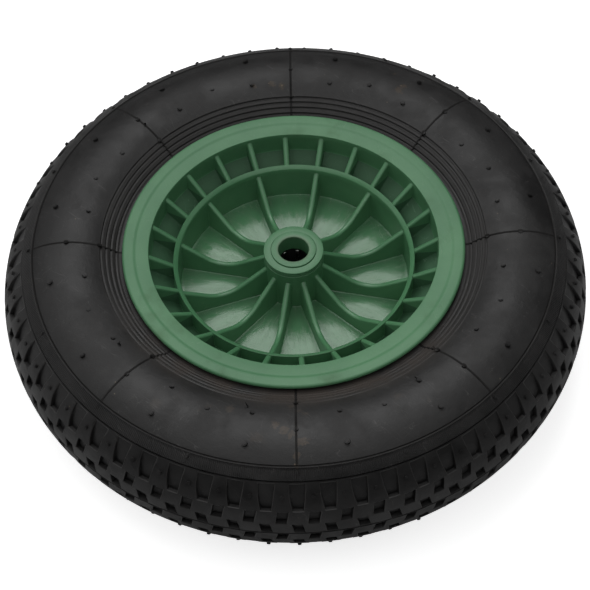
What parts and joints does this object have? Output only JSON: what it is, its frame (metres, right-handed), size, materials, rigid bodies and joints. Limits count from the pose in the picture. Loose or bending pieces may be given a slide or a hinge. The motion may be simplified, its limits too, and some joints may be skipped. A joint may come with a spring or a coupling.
{
  "type": "pneumatic wheel",
  "caption": "Pneumatic barrow wheel: block-tread tubed tyre on a one-piece ribbed plastic rim with roller bearings in the hub and a sprung tyre valve.",
  "frame": {"origin": "centre of the axle bore, midway between the two hub faces", "axes": "+Z along the axle towards the side seen in the picture; a rib of the rim lies along +X"},
  "size_m": [0.4, 0.4, 0.097],
  "materials": {
    "tyre_rubber": "dull moulded rubber",
    "tube_rubber": "smooth",
    "green_moulding": "satin moulded",
    "bearing_steel": "drawn",
    "roller_steel": "ground",
    "cage_plastic": "moulded",
    "brass": "turned",
    "seal_rubber": "smooth",
    "spring_steel": "drawn",
    "cap_plastic": "moulded"
  },
  "bodies": {
    "wheel": {"tyre": "tyre_rubber", "inner_tube": "tube_rubber", "rim": "green_moulding", "front_end_cap": "green_moulding", "back_end_cap": "green_moulding", "front_bearing_sleeve": "bearing_steel", "back_bearing_sleeve": "bearing_steel", "valve_body": "brass", "valve_core": "brass", "valve_core_seal": "seal_rubber", "valve_spring": "spring_steel"},
    "front_cage": {"front_roller_cage": "cage_plastic"},
    "front_roller_1": {"front_roller_1": "roller_steel"},
    "front_roller_2": {"front_roller_2": "roller_steel"},
    "front_roller_3": {"front_roller_3": "roller_steel"},
    "front_roller_4": {"front_roller_4": "roller_steel"},
    "front_roller_5": {"front_roller_5": "roller_steel"},
    "front_roller_6": {"front_roller_6": "roller_steel"},
    "front_roller_7": {"front_roller_7": "roller_steel"},
    "front_roller_8": {"front_roller_8": "roller_steel"},
    "back_cage": {"back_roller_cage": "cage_plastic"},
    "back_roller_1": {"back_roller_1": "roller_steel"},
    "back_roller_2": {"back_roller_2": "roller_steel"},
    "back_roller_3": {"back_roller_3": "roller_steel"},
    "back_roller_4": {"back_roller_4": "roller_steel"},
    "back_roller_5": {"back_roller_5": "roller_steel"},
    "back_roller_6": {"back_roller_6": "roller_steel"},
    "back_roller_7": {"back_roller_7": "roller_steel"},
    "back_roller_8": {"back_roller_8": "roller_steel"},
    "valve_pin": {"valve_pin": "brass"},
    "valve_cap": {"valve_cap": "cap_plastic"}
  },
  "joints": [
    {"name": "front_cage_spin", "type": "hinge", "parent": "wheel", "child": "front_cage", "pos_m": [0, 0, 0.01175], "axis": [0, 0, 1], "continuous": true},
    {"name": "front_roller_1_spin", "type": "hinge", "parent": "front_cage", "child": "front_roller_1", "pos_m": [0.01242, 0, 0.01175], "axis": [0, 0, 1], "continuous": true},
    {"name": "front_roller_2_spin", "type": "hinge", "parent": "front_cage", "child": "front_roller_2", "pos_m": [0.00878, 0.00878, 0.01175], "axis": [0, 0, 1], "continuous": true},
    {"name": "front_roller_3_spin", "type": "hinge", "parent": "front_cage", "child": "front_roller_3", "pos_m": [0, 0.01242, 0.01175], "axis": [0, 0, 1], "continuous": true},
    {"name": "front_roller_4_spin", "type": "hinge", "parent": "front_cage", "child": "front_roller_4", "pos_m": [-0.00878, 0.00878, 0.01175], "axis": [0, 0, 1], "continuous": true},
    {"name": "front_roller_5_spin", "type": "hinge", "parent": "front_cage", "child": "front_roller_5", "pos_m": [-0.01242, 0, 0.01175], "axis": [0, 0, 1], "continuous": true},
    {"name": "front_roller_6_spin", "type": "hinge", "parent": "front_cage", "child": "front_roller_6", "pos_m": [-0.00878, -0.00878, 0.01175], "axis": [0, 0, 1], "continuous": true},
    {"name": "front_roller_7_spin", "type": "hinge", "parent": "front_cage", "child": "front_roller_7", "pos_m": [0, -0.01242, 0.01175], "axis": [0, 0, 1], "continuous": true},
    {"name": "front_roller_8_spin", "type": "hinge", "parent": "front_cage", "child": "front_roller_8", "pos_m": [0.00878, -0.00878, 0.01175], "axis": [0, 0, 1], "continuous": true},
    {"name": "back_cage_spin", "type": "hinge", "parent": "wheel", "child": "back_cage", "pos_m": [0, 0, -0.01175], "axis": [0, 0, 1], "continuous": true},
    {"name": "back_roller_1_spin", "type": "hinge", "parent": "back_cage", "child": "back_roller_1", "pos_m": [0.01242, 0, -0.01175], "axis": [0, 0, 1], "continuous": true},
    {"name": "back_roller_2_spin", "type": "hinge", "parent": "back_cage", "child": "back_roller_2", "pos_m": [0.00878, 0.00878, -0.01175], "axis": [0, 0, 1], "continuous": true},
    {"name": "back_roller_3_spin", "type": "hinge", "parent": "back_cage", "child": "back_roller_3", "pos_m": [0, 0.01242, -0.01175], "axis": [0, 0, 1], "continuous": true},
    {"name": "back_roller_4_spin", "type": "hinge", "parent": "back_cage", "child": "back_roller_4", "pos_m": [-0.00878, 0.00878, -0.01175], "axis": [0, 0, 1], "continuous": true},
    {"name": "back_roller_5_spin", "type": "hinge", "parent": "back_cage", "child": "back_roller_5", "pos_m": [-0.01242, 0, -0.01175], "axis": [0, 0, 1], "continuous": true},
    {"name": "back_roller_6_spin", "type": "hinge", "parent": "back_cage", "child": "back_roller_6", "pos_m": [-0.00878, -0.00878, -0.01175], "axis": [0, 0, 1], "continuous": true},
    {"name": "back_roller_7_spin", "type": "hinge", "parent": "back_cage", "child": "back_roller_7", "pos_m": [0, -0.01242, -0.01175], "axis": [0, 0, 1], "continuous": true},
    {"name": "back_roller_8_spin", "type": "hinge", "parent": "back_cage", "child": "back_roller_8", "pos_m": [0.00878, -0.00878, -0.01175], "axis": [0, 0, 1], "continuous": true},
    {"name": "valve_pin_press", "type": "slide", "parent": "wheel", "child": "valve_pin", "axis": [0, 0, 1], "range_m": [0, 0.0012], "stiffness_N_per_m": 400, "springref_m": -0.0008, "deforming": ["valve_spring"]},
    {"name": "valve_cap_off", "type": "slide", "parent": "wheel", "child": "valve_cap", "axis": [0, 0, -1], "range_m": [0, 0.0085]}
  ],
  "couplings": [
    {"joint": "front_roller_1_spin", "follows": "front_cage_spin", "ratio": -7.225},
    {"joint": "front_roller_2_spin", "follows": "front_cage_spin", "ratio": -7.225},
    {"joint": "front_roller_3_spin", "follows": "front_cage_spin", "ratio": -7.225},
    {"joint": "front_roller_4_spin", "follows": "front_cage_spin", "ratio": -7.225},
    {"joint": "front_roller_5_spin", "follows": "front_cage_spin", "ratio": -7.225},
    {"joint": "front_roller_6_spin", "follows": "front_cage_spin", "ratio": -7.225},
    {"joint": "front_roller_7_spin", "follows": "front_cage_spin", "ratio": -7.225},
    {"joint": "front_roller_8_spin", "follows": "front_cage_spin", "ratio": -7.225},
    {"joint": "back_roller_1_spin", "follows": "back_cage_spin", "ratio": -7.225},
    {"joint": "back_roller_2_spin", "follows": "back_cage_spin", "ratio": -7.225},
    {"joint": "back_roller_3_spin", "follows": "back_cage_spin", "ratio": -7.225},
    {"joint": "back_roller_4_spin", "follows": "back_cage_spin", "ratio": -7.225},
    {"joint": "back_roller_5_spin", "follows": "back_cage_spin", "ratio": -7.225},
    {"joint": "back_roller_6_spin", "follows": "back_cage_spin", "ratio": -7.225},
    {"joint": "back_roller_7_spin", "follows": "back_cage_spin", "ratio": -7.225},
    {"joint": "back_roller_8_spin", "follows": "back_cage_spin", "ratio": -7.225}
  ]
}
